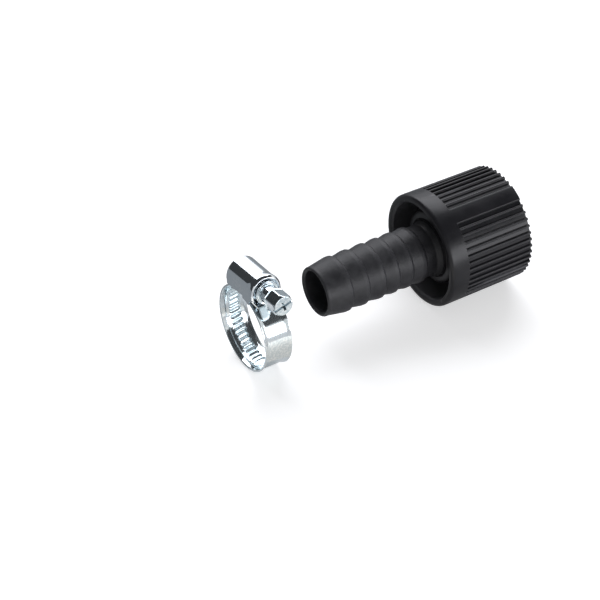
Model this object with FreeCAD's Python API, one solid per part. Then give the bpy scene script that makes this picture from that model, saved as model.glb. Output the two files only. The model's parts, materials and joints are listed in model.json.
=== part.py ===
import FreeCAD, Part
import math
import os

# Suction hose connector: a plastic union nut with a parallel 1 inch pipe thread, the barbed
# hose tail that it draws down on a rubber washer, and the steel worm drive clip of the hose.
# Millimetres. Y is the axis of nut and tail, the origin is the middle of the nut's open
# thread mouth, +Y points out of that mouth, the tail points to -Y, and Z is up.

# Pipe thread, G 1, with its crests cut short as in a moulded nut
thread_major_r = 16.624
thread_pitch = 2.309
thread_root_w = 0.385
thread_flank_deg = 27.5
thread_bore_r = 15.65
thread_len = 13.1
thread_entry = 0.5
thread_runout = 0.5
chamber_r = 15.95

# Union nut
nut_len = 34.1
nut_front_r = 20.9
nut_rear_r = 20.6
nut_front_round = 1.4
nut_rear_round = 0.3
web_t = 3.0
rib_places = 50
rib_groove_w = 1.75
rib_groove_floor_w = 1.15
rib_groove_depth = 0.72
collar_len = 7.2
panel_count = 2
panel_places = 3
panel_turn_deg = 63.7
recess_mouth_r = 18.6
recess_r = 17.9
recess_floor_r = 17.6
recess_step = 1.0
recess_fillet = 1.0
hub_r = 13.8
hub_len = 7.3
hub_round = 1.2
hub_hole_r = 10.6
hub_chamfer = 0.6

# Hose tail
tail_len = 61.1
tail_bore_r = 7.6
bore_chamfer = 0.7
tip_r = 9.1
tip_round = 0.9
tip_land = 1.4
root_r = 9.4
crest_r = 10.2
crest_land = 0.9
crest_round = 0.45
crest_drop = 0.9
barb_count = 6
long_barb_count = 2
long_barb_pitch = 6.7
barb_pitch = 5.67
tip_to_crest = 8.9
neck_gap = 0.08
neck_beyond_hub = 0.5
neck_taper = 2.2
flange_r = 15.2
flange_t = 3.2
flange_chamfer = 0.5
seat_gap = 0.08

# Sealing washer
washer_r = 15.0
washer_hole_r = 9.6
washer_t = 2.6
washer_gap = 0.05

# Hose clip, standing off the tail's tip on the level of the nut's underside
clip_in_r = 14.35
band_t = 0.75
band_w = 10.4
flare_w = 1.5
flare_h = 0.6
flare_round = 0.9
free_end_rise = 1.0
rise_from_deg = 200.0
free_end_deg = 111.0
fixed_end_deg = 110.0
tooth_pitch = 2.0
tooth_count = 22
first_tooth_deg = 116.0
tooth_w = 4.2
tooth_span = 1.1
tooth_wall = 0.2
tooth_depth = 0.42
tooth_slant_deg = 8.0
clip_tip_gap = 17.8
clip_side = -1.35
clip_lean_deg = 8.6
layer_gap = 0.05

# Clip housing: an arch over the screw, a sloping floor below it, a foot that lies on the
# band, and two claws that are pressed into notches in the band's edges
sheet_t = 0.8
arch_r = 5.9
housing_rear_x = -6.3
housing_front_x = 10.25
housing_foot_z = 16.05
screw_axis_z = 18.18
lip_len = 0.9
lip_h = 0.2
front_wall_inset = 0.5
floor_t = 0.6
floor_lean_deg = 18.0
floor_half_w = 3.6
floor_rear_x = 5.0
foot_w = 2.9
foot_side = -2.2
foot_end_deg = 36.0
foot_round = 1.2
claw_half_deg = 8.0
claw_t = 0.9
claw_side = 4.4
notch_gap = 0.1

# Clip screw
worm_crest_r = 2.85
worm_root_r = 2.05
worm_flank_deg = 20.0
worm_crest_w = 0.6
worm_len = 12.4
journal_len = 1.1
neck_r = 2.0
bearing_gap = 0.08
collar_r = 4.3
collar_t = 1.0
shank_r = 3.35
shank_len = 4.6
hex_af = 7.0
hex_corner_r = 3.95
hex_len = 6.2
hex_turn_deg = 38.4
face_r = 3.4
face_chamfer_len = 1.1
slot_w = 0.9
slot_depth = 1.3
slot_turn_deg = 15.0
cross_slot_len = 3.6
end_play = 0.1

# Places that follow from the sizes above
washer_front_y = -thread_len - thread_runout
flange_front_y = washer_front_y - washer_t - washer_gap
flange_back_y = flange_front_y - flange_t
seat_y = flange_back_y - seat_gap
web_front_y = seat_y - web_t
hub_front_y = web_front_y - hub_len
nut_front_y = -nut_len
tip_y = flange_front_y - tail_len
neck_outer_r = hub_hole_r - neck_gap
band_out_r = clip_in_r + band_t
clip_y = tip_y - clip_tip_gap - band_w / 2
clip_z = band_out_r + flare_h - nut_front_r
floor_turn = math.radians(floor_lean_deg)
claw_deg = 90 - floor_lean_deg
wall_back_x = housing_front_x - front_wall_inset - sheet_t
wall_front_x = wall_back_x + sheet_t


def vec(x, y, z):
    return FreeCAD.Vector(x, y, z)


# A closed face from corners (u, v, radius), each corner rounded by its own radius;
# place turns (u, v) into a point in space.
def rounded_face(corners, place):
    count = len(corners)
    starts = []
    ends = []
    mids = []
    for i in range(count):
        u, v, radius = corners[i]
        back = corners[i - 1]
        ahead = corners[(i + 1) % count]
        if radius <= 0:
            starts.append((u, v))
            ends.append((u, v))
            mids.append(None)
            continue
        back_len = math.hypot(back[0] - u, back[1] - v)
        ahead_len = math.hypot(ahead[0] - u, ahead[1] - v)
        bu, bv = (back[0] - u) / back_len, (back[1] - v) / back_len
        au, av = (ahead[0] - u) / ahead_len, (ahead[1] - v) / ahead_len
        half = math.acos(max(-1.0, min(1.0, bu * au + bv * av))) / 2
        reach = radius / math.tan(half)
        starts.append((u + bu * reach, v + bv * reach))
        ends.append((u + au * reach, v + av * reach))
        mid_len = math.hypot(bu + au, bv + av)
        out = radius / math.sin(half) - radius
        mids.append((u + (bu + au) / mid_len * out, v + (bv + av) / mid_len * out))
    edges = []
    for i in range(count):
        if mids[i]:
            arc = Part.Arc(place(*starts[i]), place(*mids[i]), place(*ends[i]))
            edges.append(arc.toShape())
        a = place(*ends[i])
        b = place(*starts[(i + 1) % count])
        if a.distanceToPoint(b) > 1e-6:
            edges.append(Part.LineSegment(a, b).toShape())
    return Part.Face(Part.Wire(edges))


# Turned piece about the Y axis from (radius, y, rounding) corners
def turned(corners):
    face = rounded_face(corners, lambda r, y: vec(r, y, 0))
    return face.revolve(vec(0, 0, 0), vec(0, 1, 0), 360)


# A screw-shaped solid along +Z that starts at z = 0: the groove or ridge between two radii
def helical(root_r, top_r, root_w, top_w, pitch, length):
    path = Part.makeHelix(pitch, length, root_r)
    corners = [
        (root_r, -root_w / 2, 0),
        (top_r, -top_w / 2, 0),
        (top_r, top_w / 2, 0),
        (root_r, root_w / 2, 0),
    ]
    section = rounded_face(corners, lambda r, z: vec(r, 0, z)).OuterWire
    return Part.Wire(path).makePipeShell([section], True, True)


def thread_groove():
    flank = math.tan(math.radians(thread_flank_deg))
    inside = thread_bore_r - thread_entry / 2
    mouth_w = thread_root_w + 2 * (thread_major_r - inside) * flank
    groove = helical(inside, thread_major_r, mouth_w, thread_root_w, thread_pitch, thread_len)
    groove.rotate(vec(0, 0, 0), vec(1, 0, 0), -90)
    groove.translate(vec(0, thread_pitch / 2 - thread_len, 0))
    return groove


def rib_groove(angle):
    slope = (nut_rear_r - nut_front_r) / nut_len
    length = nut_len - collar_len + nut_rear_round
    surface = nut_front_r + slope * collar_len
    start_y = nut_front_y + collar_len
    above = surface + rib_groove_depth
    widen = (rib_groove_w - rib_groove_floor_w) / 2
    corners = [
        (-rib_groove_floor_w / 2, surface - rib_groove_depth, 0),
        (-rib_groove_w / 2 - widen, above, 0),
        (rib_groove_w / 2 + widen, above, 0),
        (rib_groove_floor_w / 2, surface - rib_groove_depth, 0),
    ]
    face = rounded_face(corners, lambda t, r: vec(r, start_y, t))
    cutter = face.extrude(vec(slope * length, length, 0))
    cutter.rotate(vec(0, 0, 0), vec(0, 1, 0), -angle)
    return cutter


def union_nut():
    body = turned([
        (thread_bore_r + thread_entry, 0, 0),
        (nut_rear_r, 0, nut_rear_round),
        (nut_front_r, nut_front_y, nut_front_round),
        (recess_mouth_r, nut_front_y, 0),
        (recess_r, nut_front_y + recess_step, 0),
        (recess_floor_r, web_front_y, recess_fillet),
        (hub_r, web_front_y, recess_fillet),
        (hub_r, hub_front_y, hub_round),
        (hub_hole_r + hub_chamfer, hub_front_y, 0),
        (hub_hole_r, hub_front_y + hub_chamfer, 0),
        (hub_hole_r, seat_y, 0),
        (chamber_r, seat_y, 0),
        (chamber_r, -thread_len, 0),
        (thread_bore_r, -thread_len, 0),
        (thread_bore_r, -thread_entry, 0),
    ])
    step = 360 / rib_places
    places_a_side = rib_places // panel_count
    grooves = []
    for i in range(rib_places):
        if i % places_a_side < places_a_side - panel_places + 1:
            angle = panel_turn_deg + (i + panel_places / 2) * step
            grooves.append(rib_groove(angle))
    body = body.cut(Part.makeCompound(grooves))
    return body.cut(thread_groove())


def hose_tail():
    corners = [
        (tail_bore_r, tip_y + bore_chamfer, 0),
        (tail_bore_r + bore_chamfer, tip_y, 0),
        (tip_r, tip_y, tip_round),
        (tip_r, tip_y + tip_land, 0),
    ]
    crest_y = tip_y + tip_to_crest
    for i in range(barb_count):
        corners.append((crest_r, crest_y - crest_land, 0))
        corners.append((crest_r, crest_y + crest_round, crest_round))
        corners.append((root_r, crest_y + crest_drop + crest_round, crest_round))
        if i < long_barb_count:
            crest_y = crest_y + long_barb_pitch
        else:
            crest_y = crest_y + barb_pitch
    neck_front_y = hub_front_y - neck_beyond_hub
    corners = corners + [
        (root_r, neck_front_y - neck_taper, neck_taper / 2),
        (neck_outer_r, neck_front_y, neck_taper / 2),
        (neck_outer_r, flange_back_y, 0),
        (flange_r, flange_back_y, flange_chamfer),
        (flange_r, flange_front_y, flange_chamfer),
        (tail_bore_r + bore_chamfer, flange_front_y, 0),
        (tail_bore_r, flange_front_y - bore_chamfer, 0),
    ]
    return turned(corners)


def sealing_washer():
    return turned([
        (washer_hole_r, washer_front_y - washer_t, 0),
        (washer_r, washer_front_y - washer_t, 0),
        (washer_r, washer_front_y, 0),
        (washer_hole_r, washer_front_y, 0),
    ])


# The clip is modelled round its own ring axis, with the housing on top (+Z) and the screw
# head towards +X. Angles run from +X towards +Z. A ring sector turns a face of
# (radius, y, rounding) corners about an axis through middle.
def ring_sector(corners, start_deg, end_deg, middle):
    face = rounded_face(corners, lambda r, y: vec(r, y, 0))
    face.rotate(vec(0, 0, 0), vec(0, 1, 0), -start_deg)
    sector = face.revolve(vec(0, 0, 0), vec(0, -1, 0), end_deg - start_deg)
    sector.translate(middle)
    return sector


def flared_corners(inner_r):
    flat = band_w / 2 - flare_w
    inner_round = flare_round + band_t
    return [
        (inner_r + flare_h, -band_w / 2, 0),
        (inner_r, -flat, inner_round),
        (inner_r, flat, inner_round),
        (inner_r + flare_h, band_w / 2, 0),
        (inner_r + flare_h + band_t, band_w / 2, 0),
        (inner_r + band_t, flat, flare_round),
        (inner_r + band_t, -flat, flare_round),
        (inner_r + flare_h + band_t, -band_w / 2, 0),
    ]


# The band's free end runs on a larger arc, tangent to the ring, so it comes to lie
# over the fixed end. This is where that arc's centre is.
def rise_middle():
    turn = math.radians(rise_from_deg)
    return vec(-free_end_rise * math.cos(turn), 0, -free_end_rise * math.sin(turn))


# One pressed tooth: a block on the band at an angle, from one radius to another
def tooth_block(angle, low_r, high_r, span, width):
    block = Part.makeBox(high_r - low_r, width, span, vec(low_r, -width / 2, -span / 2))
    block.rotate(vec(0, 0, 0), vec(1, 0, 0), tooth_slant_deg)
    if angle < rise_from_deg:
        block.translate(vec(free_end_rise, 0, 0))
    block.rotate(vec(0, 0, 0), vec(0, 1, 0), -angle)
    if angle < rise_from_deg:
        block.translate(rise_middle())
    return block


# A block of the band's ring between two angles, from one side face to another
def ring_block(low_r, high_r, start_deg, end_deg, low_y, high_y):
    corners = [(low_r, low_y, 0), (low_r, high_y, 0), (high_r, high_y, 0), (high_r, low_y, 0)]
    return ring_sector(corners, start_deg, end_deg, vec(0, 0, 0))


def clip_band():
    free_corners = flared_corners(clip_in_r + free_end_rise)
    band = ring_sector(flared_corners(clip_in_r), rise_from_deg - 360, fixed_end_deg, vec(0, 0, 0))
    band = band.fuse(ring_sector(free_corners, free_end_deg, rise_from_deg, rise_middle()))
    notch_half = claw_half_deg + math.degrees(notch_gap / clip_in_r)
    notch_low_r = clip_in_r - notch_gap
    notch_high_r = band_out_r + flare_h + notch_gap
    notch_y = claw_side - notch_gap
    for low_y in (-band_w, notch_y):
        high_y = low_y + band_w - notch_y
        band = band.cut(ring_block(notch_low_r, notch_high_r, claw_deg - notch_half,
                                   claw_deg + notch_half, low_y, high_y))
    tooth_step = math.degrees(tooth_pitch / (clip_in_r + band_t / 2))
    sunk_r = clip_in_r + tooth_depth
    proud_r = band_out_r + tooth_depth
    ridge_span = tooth_span + 2 * tooth_wall
    ridge_w = tooth_w + 2 * tooth_wall
    ridges = []
    hollows = []
    for i in range(tooth_count):
        angle = first_tooth_deg + i * tooth_step
        ridges.append(tooth_block(angle, sunk_r, proud_r, ridge_span, ridge_w))
        hollows.append(tooth_block(angle, clip_in_r - tooth_depth, sunk_r, tooth_span, tooth_w))
    band = band.fuse(ridges)
    return band.cut(Part.makeCompound(hollows))


# Arch in the YZ plane at x, extruded to +X: straight sides below a half round
def arch(outer_r, foot_z, x, length):
    left = vec(x, -outer_r, screw_axis_z)
    right = vec(x, outer_r, screw_axis_z)
    top = vec(x, 0, screw_axis_z + outer_r)
    left_foot = vec(x, -outer_r, foot_z)
    right_foot = vec(x, outer_r, foot_z)
    edges = [
        Part.LineSegment(left_foot, left).toShape(),
        Part.Arc(left, top, right).toShape(),
        Part.LineSegment(right, right_foot).toShape(),
        Part.LineSegment(right_foot, left_foot).toShape(),
    ]
    return Part.Face(Part.Wire(edges)).extrude(vec(length, 0, 0))


# Underside of the housing's floor: a line that touches the band round its top
def floor_z(x):
    return (band_out_r + layer_gap - x * math.sin(floor_turn)) / math.cos(floor_turn)


# The space above the floor, or the floor with it: a trough that runs from x to the front
def trough(inset, lift, rim_z, start_x, end_x):
    sections = []
    for x in (start_x, end_x):
        low = floor_z(x) + lift
        side = arch_r - inset
        flat = floor_half_w - inset / 3
        outline = [(-side, rim_z), (-side, housing_foot_z), (-flat, low),
                   (flat, low), (side, housing_foot_z), (side, rim_z)]
        points = [vec(x, y, z) for y, z in outline]
        sections.append(Part.makePolygon(points + points[:1]))
    return Part.makeLoft(sections, True, True)


def housing_foot():
    turn = math.radians(foot_end_deg)
    on_band = band_out_r + layer_gap
    start = (housing_front_x - floor_t, floor_z(housing_front_x - floor_t))
    corner = (housing_front_x, floor_z(housing_front_x))
    end = (on_band * math.cos(turn), on_band * math.sin(turn))
    run = math.hypot(end[0] - corner[0], end[1] - corner[1])
    out = (floor_t * (corner[1] - end[1]) / run, floor_t * (end[0] - corner[0]) / run)
    corners = [
        (start[0], start[1], 0),
        (corner[0], corner[1], 0),
        (end[0], end[1], 0),
        (end[0] + out[0], end[1] + out[1], 0),
        (corner[0] + out[0], corner[1] + floor_t, floor_t),
        (start[0], start[1] + floor_t, 0),
    ]
    low_y = foot_side - foot_w / 2
    foot = rounded_face(corners, lambda x, z: vec(x, low_y, z)).extrude(vec(0, foot_w, 0))
    tip_edges = [edge for edge in foot.Edges
                 if edge.BoundBox.YLength < layer_gap
                 and edge.BoundBox.ZMin < end[1] + layer_gap
                 and edge.Length < floor_t + layer_gap]
    return foot.makeFillet(foot_round, tip_edges)


def clip_housing():
    length = housing_front_x - housing_rear_x
    inner_r = arch_r - sheet_t
    rim_z = housing_foot_z + sheet_t
    body = arch(arch_r, housing_foot_z, housing_rear_x, length)
    body = body.fuse(arch(arch_r + lip_h, housing_foot_z, housing_front_x - lip_len, lip_len))
    body = body.fuse(trough(0, 0, rim_z, floor_rear_x, housing_front_x))
    body = body.fuse(housing_foot())
    claw_low_r = clip_in_r + layer_gap
    for low_y in (-claw_side - claw_t, claw_side):
        body = body.fuse(ring_block(claw_low_r, screw_axis_z - floor_t, claw_deg - claw_half_deg,
                                    claw_deg + claw_half_deg, low_y, low_y + claw_t))
    rear_len = wall_back_x - housing_rear_x
    body = body.cut(arch(inner_r, housing_foot_z, housing_rear_x, rear_len))
    body = body.cut(arch(inner_r, housing_foot_z, wall_front_x, front_wall_inset))
    body = body.cut(trough(sheet_t, floor_t, housing_foot_z, floor_rear_x, housing_front_x))
    hole = Part.makeCylinder(neck_r + bearing_gap, length, vec(0, 0, screw_axis_z), vec(1, 0, 0))
    return body.cut(hole).removeSplitter()


# A point on the screw's axis
def on_screw(x):
    return vec(x, 0, screw_axis_z)


def hex_head(x):
    axis = vec(1, 0, 0)
    corner = hex_af / 2 / math.cos(math.radians(30))
    ring = []
    for i in range(6):
        turn = math.radians(hex_turn_deg + 60 * i)
        ring.append(vec(x, corner * math.cos(turn), screw_axis_z + corner * math.sin(turn)))
    head = Part.Face(Part.makePolygon(ring + ring[:1])).extrude(vec(hex_len, 0, 0))
    head = head.common(Part.makeCylinder(hex_corner_r, hex_len, on_screw(x), axis))
    straight = hex_len - face_chamfer_len
    nose = Part.makeCylinder(hex_corner_r, straight, on_screw(x), axis)
    cone = Part.makeCone(hex_corner_r, face_r, face_chamfer_len, on_screw(x + straight), axis)
    head = head.common(nose.fuse(cone))
    slot_x = x + hex_len - slot_depth
    slot = Part.makeBox(slot_depth, 2 * hex_af, slot_w, vec(slot_x, -hex_af, screw_axis_z - slot_w / 2))
    cross = Part.makeBox(slot_depth, slot_w, cross_slot_len,
                         vec(slot_x, -slot_w / 2, screw_axis_z - cross_slot_len / 2))
    slots = slot.fuse(cross)
    slots.rotate(on_screw(x), axis, slot_turn_deg)
    return head.cut(slots)


def clip_screw():
    axis = vec(1, 0, 0)
    worm_front_x = wall_back_x - end_play
    worm_rear_x = worm_front_x - worm_len
    core = Part.makeCylinder(worm_root_r, worm_len + journal_len, on_screw(worm_rear_x - journal_len), axis)
    sunk_r = worm_root_r - layer_gap
    flank = math.tan(math.radians(worm_flank_deg)) * (worm_crest_r - sunk_r)
    root_w = worm_crest_w + 2 * flank
    ridge = helical(sunk_r, worm_crest_r, root_w, worm_crest_w, tooth_pitch, worm_len - root_w)
    ridge.rotate(vec(0, 0, 0), vec(0, 1, 0), 90)
    ridge.translate(on_screw(worm_rear_x + root_w / 2))
    collar_x = wall_front_x + end_play
    neck = Part.makeCylinder(neck_r, collar_x - worm_front_x, on_screw(worm_front_x), axis)
    collar = Part.makeCylinder(collar_r, collar_t, on_screw(collar_x), axis)
    shank_x = collar_x + collar_t
    shank = Part.makeCylinder(shank_r, shank_len, on_screw(shank_x), axis)
    screw = core.fuse([neck, collar, shank, hex_head(shank_x + shank_len)])
    return screw.fuse(ridge).removeSplitter()


def placed_clip(shape):
    shape.rotate(vec(0, 0, 0), vec(0, 1, 0), -clip_lean_deg)
    shape.translate(vec(clip_side, clip_y, clip_z))
    return shape


nodes = {
    "union_nut": union_nut(),
    "hose_tail": hose_tail(),
    "sealing_washer": sealing_washer(),
    "clip_band": placed_clip(clip_band()),
    "clip_housing": placed_clip(clip_housing()),
    "clip_screw": placed_clip(clip_screw()),
}
os.makedirs("parts", exist_ok=True)
for name, shape in nodes.items():
    shape.exportStep("parts/" + name + ".step")
    box = shape.BoundBox
    print(name, shape.ShapeType, "solids", len(shape.Solids), "valid", shape.isValid(),
          "volume", round(shape.Volume, 1),
          "x", round(box.XMin, 2), round(box.XMax, 2),
          "y", round(box.YMin, 2), round(box.YMax, 2),
          "z", round(box.ZMin, 2), round(box.ZMax, 2))
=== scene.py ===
import json
import math
import bpy
import bmesh
import numpy as np
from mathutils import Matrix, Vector


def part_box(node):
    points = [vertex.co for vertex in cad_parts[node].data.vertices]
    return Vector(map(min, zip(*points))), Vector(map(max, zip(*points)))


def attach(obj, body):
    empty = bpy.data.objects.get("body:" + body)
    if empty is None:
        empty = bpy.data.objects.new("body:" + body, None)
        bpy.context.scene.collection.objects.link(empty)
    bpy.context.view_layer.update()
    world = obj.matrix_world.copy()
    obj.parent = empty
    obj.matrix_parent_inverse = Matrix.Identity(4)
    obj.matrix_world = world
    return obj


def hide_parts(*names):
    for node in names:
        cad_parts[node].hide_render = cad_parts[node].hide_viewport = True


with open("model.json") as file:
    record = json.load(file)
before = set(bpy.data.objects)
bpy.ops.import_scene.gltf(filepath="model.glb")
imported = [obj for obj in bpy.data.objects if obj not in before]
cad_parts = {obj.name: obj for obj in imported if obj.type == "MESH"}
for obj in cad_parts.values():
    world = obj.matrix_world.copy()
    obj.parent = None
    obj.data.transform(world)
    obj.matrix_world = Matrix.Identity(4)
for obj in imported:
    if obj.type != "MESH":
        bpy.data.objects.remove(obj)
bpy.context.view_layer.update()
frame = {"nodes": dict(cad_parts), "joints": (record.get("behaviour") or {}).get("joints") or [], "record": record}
mounts = {mount["name"]: mount for mount in frame["record"]["mounts"]}
joints = {joint["name"]: joint for joint in frame["joints"]}
mm = 0.001
print("frame loaded:", ", ".join(sorted(frame["nodes"])))


# Smooth step from 0 at low to 1 at high
def ease(value, low, high):
    share = np.clip((value - low) / (high - low), 0, 1)
    return share * share * (3 - 2 * share)


# Corners (u, v, radius) as a line of points with round corners, closed or open
def roundedLine(corners, arcSteps=6, closed=True):
    points = []
    count = len(corners)
    for i, (u, v, radius) in enumerate(corners):
        here = np.array((u, v), float)
        if radius <= 0 or (not closed and i in (0, count - 1)):
            points.append(here)
            continue
        back = np.array(corners[i - 1][:2]) - here
        ahead = np.array(corners[(i + 1) % count][:2]) - here
        back = back / np.hypot(*back)
        ahead = ahead / np.hypot(*ahead)
        half = math.acos(max(-1, min(1, back @ ahead))) / 2
        inward = (back + ahead) / np.hypot(*(back + ahead))
        middle = here + inward * radius / math.sin(half)
        first = here + back * radius / math.tan(half) - middle
        last = here + ahead * radius / math.tan(half) - middle
        sweep = math.pi - 2 * half
        for step in range(arcSteps + 1):
            turn = sweep * step / arcSteps
            arm = first * math.sin(sweep - turn) + last * math.sin(turn)
            points.append(middle + arm / math.sin(sweep))
    return np.array(points)


# Marks, point by point, where a piece looks otherwise: metal matted by the press, and painted light in the nut's
# recess
def markPressMattAndRecessLight(piece, shares):
    worked = piece.data.attributes.new("worked", "FLOAT", "POINT")
    worked.data.foreach_set("value", np.asarray(shares, np.float32))


# Puts more points on the straight runs of a line, none further apart than longest
def divided(points, longest, closed=True):
    result = []
    count = len(points)
    for i in range(count if closed else count - 1):
        start = points[i]
        end = points[(i + 1) % count]
        pieces = max(1, math.ceil(np.hypot(*(end - start)) / longest))
        for step in range(pieces):
            result.append(start + (end - start) * step / pieces)
    if not closed:
        result.append(points[-1])
    return np.array(result)


# One object from points in millimetres and faces of point numbers
def makePiece(name, points, faces, smoothDeg=38):
    mesh = bpy.data.meshes.new(name)
    mesh.from_pydata((np.asarray(points).reshape(-1, 3) * mm).tolist(), [], faces)
    work = bmesh.new()
    work.from_mesh(mesh)
    bmesh.ops.remove_doubles(work, verts=work.verts, dist=2e-7)
    bmesh.ops.dissolve_degenerate(work, edges=work.edges, dist=1e-8)
    bmesh.ops.recalc_face_normals(work, faces=work.faces)
    if work.calc_volume(signed=True) < 0:
        bmesh.ops.reverse_faces(work, faces=work.faces)
    work.to_mesh(mesh)
    work.free()
    mesh.shade_smooth()
    mesh.set_sharp_from_angle(angle=math.radians(smoothDeg))
    piece = bpy.data.objects.new(name, mesh)
    bpy.context.scene.collection.objects.link(piece)
    return piece


# Quads between the rows and columns of a grid of points
def gridFaces(rows, columns, closedRows, closedColumns, offset=0):
    faces = []
    for i in range(rows if closedRows else rows - 1):
        low = offset + i * columns
        high = offset + (i + 1) % rows * columns
        for j in range(columns if closedColumns else columns - 1):
            k = (j + 1) % columns
            faces.append((low + j, low + k, high + k, high + j))
    return faces


# A closed sheet between two grids of points, with strips all round its border
def sheetFaces(rows, columns):
    under = rows * columns
    faces = gridFaces(rows, columns, False, False)
    faces += [face[::-1] for face in gridFaces(rows, columns, False, False, under)]
    border = list(range(columns))
    border += [i * columns + columns - 1 for i in range(1, rows)]
    border += [(rows - 1) * columns + j for j in range(columns - 2, -1, -1)]
    border += [i * columns for i in range(rows - 2, 0, -1)]
    for i, a in enumerate(border):
        b = border[(i + 1) % len(border)]
        faces.append((b, a, under + a, under + b))
    return faces


# Points and faces of a closed sheet from its two grids
def sheetShell(grids):
    points = np.concatenate([np.asarray(grid).reshape(-1, 3) for grid in grids])
    return points, sheetFaces(*np.asarray(grids[0]).shape[:2])


# Turned piece about the Y axis: profile rows (r, y), radii may change with the angle
def turnedPoints(profile, angles, radii=None):
    if radii is None:
        radii = np.repeat(profile[:, :1], len(angles), axis=1)
    heights = np.repeat(profile[:, 1:2], len(angles), axis=1)
    return np.stack([radii * np.cos(angles), heights, radii * np.sin(angles)], axis=2)


# Dresses a piece: it stands for a node, rides on the node's body and gets its material
def dress(piece, node, body, material):
    piece.data.materials.append(material)
    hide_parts(node)
    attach(piece, body)


# Node groups and materials
def newGroup(name, inputs, outputs):
    group = bpy.data.node_groups.new(name, "ShaderNodeTree")
    for label, value in inputs.items():
        socket = group.interface.new_socket(name=label, in_out="INPUT", socket_type="NodeSocketFloat")
        socket.default_value = value
    for label in outputs:
        group.interface.new_socket(name=label, in_out="OUTPUT", socket_type="NodeSocketFloat")
    return group, group.nodes.new("NodeGroupInput"), group.nodes.new("NodeGroupOutput")


def mathNode(tree, operation, first, second):
    node = tree.nodes.new("ShaderNodeMath")
    node.operation = operation
    for socket, value in zip(node.inputs, (first, second)):
        if isinstance(value, (int, float)):
            socket.default_value = value
        else:
            tree.links.new(value, socket)
    return node.outputs[0]


def noiseNode(tree, place, scale, detail=2.0, roughness=0.5):
    node = tree.nodes.new("ShaderNodeTexNoise")
    tree.links.new(place, node.inputs["Vector"])
    tree.links.new(scale, node.inputs["Scale"])
    node.inputs["Detail"].default_value = detail
    node.inputs["Roughness"].default_value = roughness
    return node.outputs[0]


def rangeNode(tree, value, low, high, toLow=0.0, toHigh=1.0):
    node = tree.nodes.new("ShaderNodeMapRange")
    node.interpolation_type = "SMOOTHSTEP"
    tree.links.new(value, node.inputs["Value"])
    for label, number in (("From Min", low), ("From Max", high), ("To Min", toLow), ("To Max", toHigh)):
        if isinstance(number, (int, float)):
            node.inputs[label].default_value = number
        else:
            tree.links.new(number, node.inputs[label])
    return node.outputs[0]


# Fine grain of moulded plastic or rubber, with soft clouds of a larger scale
def buildMouldSkin():
    group, given, result = newGroup("mouldSkin", {"Grain per m": 3200.0, "Clouds per m": 120.0},
                                    ["Height", "Clouds"])
    place = group.nodes.new("ShaderNodeTexCoord").outputs["Object"]
    grain = noiseNode(group, place, given.outputs["Grain per m"], detail=3.0, roughness=0.62)
    clouds = noiseNode(group, place, given.outputs["Clouds per m"], detail=4.0, roughness=0.6)
    group.links.new(grain, result.inputs["Height"])
    group.links.new(rangeNode(group, clouds, 0.3, 0.7), result.inputs["Clouds"])
    return group


# Rubbed edges with a painted highlight along them: a mask of the convex edges, broken up by noise
def buildEdgeWearAndHighlight():
    group, given, result = newGroup("edgeRub", {"From": 0.51, "To": 0.6, "Break per m": 240.0}, ["Mask"])
    shape = group.nodes.new("ShaderNodeNewGeometry").outputs["Pointiness"]
    place = group.nodes.new("ShaderNodeTexCoord").outputs["Object"]
    mask = rangeNode(group, shape, given.outputs["From"], given.outputs["To"])
    gaps = rangeNode(group, noiseNode(group, place, given.outputs["Break per m"]), 0.25, 0.6, 0.35, 1.0)
    group.links.new(mathNode(group, "MULTIPLY", mask, gaps), result.inputs["Mask"])
    return group


# Bright zinc plate: spangle, faint clouds of the passivation and fine drawing lines
def buildZincPlate():
    group, given, result = newGroup("zincPlate", {"Spangle per m": 1400.0, "Clouds per m": 220.0,
                                                  "Lines per m": 5000.0}, ["Height", "Spangle", "Clouds"])
    place = group.nodes.new("ShaderNodeTexCoord").outputs["Object"]
    spangle = noiseNode(group, place, given.outputs["Spangle per m"], detail=3.0, roughness=0.6)
    clouds = noiseNode(group, place, given.outputs["Clouds per m"], detail=3.0)
    stretched = group.nodes.new("ShaderNodeMapping")
    stretched.inputs["Scale"].default_value = (1.0, 0.04, 1.0)
    group.links.new(place, stretched.inputs["Vector"])
    lines = noiseNode(group, stretched.outputs[0], given.outputs["Lines per m"], detail=1.0)
    height = mathNode(group, "ADD", mathNode(group, "MULTIPLY", lines, 0.12), spangle)
    group.links.new(height, result.inputs["Height"])
    group.links.new(rangeNode(group, spangle, 0.35, 0.68), result.inputs["Spangle"])
    group.links.new(rangeNode(group, clouds, 0.35, 0.65), result.inputs["Clouds"])
    return group


skinGroup = buildMouldSkin()
edgeWearHighlightGroup = buildEdgeWearAndHighlight()
zincGroup = buildZincPlate()


def newMaterial(name):
    material = bpy.data.materials.new(name)
    material.use_nodes = True
    tree = material.node_tree
    tree.nodes.clear()
    shader = tree.nodes.new("ShaderNodeBsdfPrincipled")
    out = tree.nodes.new("ShaderNodeOutputMaterial")
    tree.links.new(shader.outputs[0], out.inputs["Surface"])
    return material, tree, shader


def placeGroup(tree, group, values):
    node = tree.nodes.new("ShaderNodeGroup")
    node.node_tree = group
    for label, value in values.items():
        node.inputs[label].default_value = value
    return node


def mixColor(tree, share, first, second):
    node = tree.nodes.new("ShaderNodeMix")
    node.data_type = "RGBA"
    tree.links.new(share, node.inputs[0])
    for socket, value in ((node.inputs[6], first), (node.inputs[7], second)):
        if isinstance(value, tuple):
            socket.default_value = value + (1.0,)
        else:
            tree.links.new(value, socket)
    return node.outputs[2]


def addBump(tree, shader, height, strength, distance):
    bump = tree.nodes.new("ShaderNodeBump")
    bump.inputs["Strength"].default_value = strength
    bump.inputs["Distance"].default_value = distance
    tree.links.new(height, bump.inputs["Height"])
    tree.links.new(bump.outputs[0], shader.inputs["Normal"])


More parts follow.
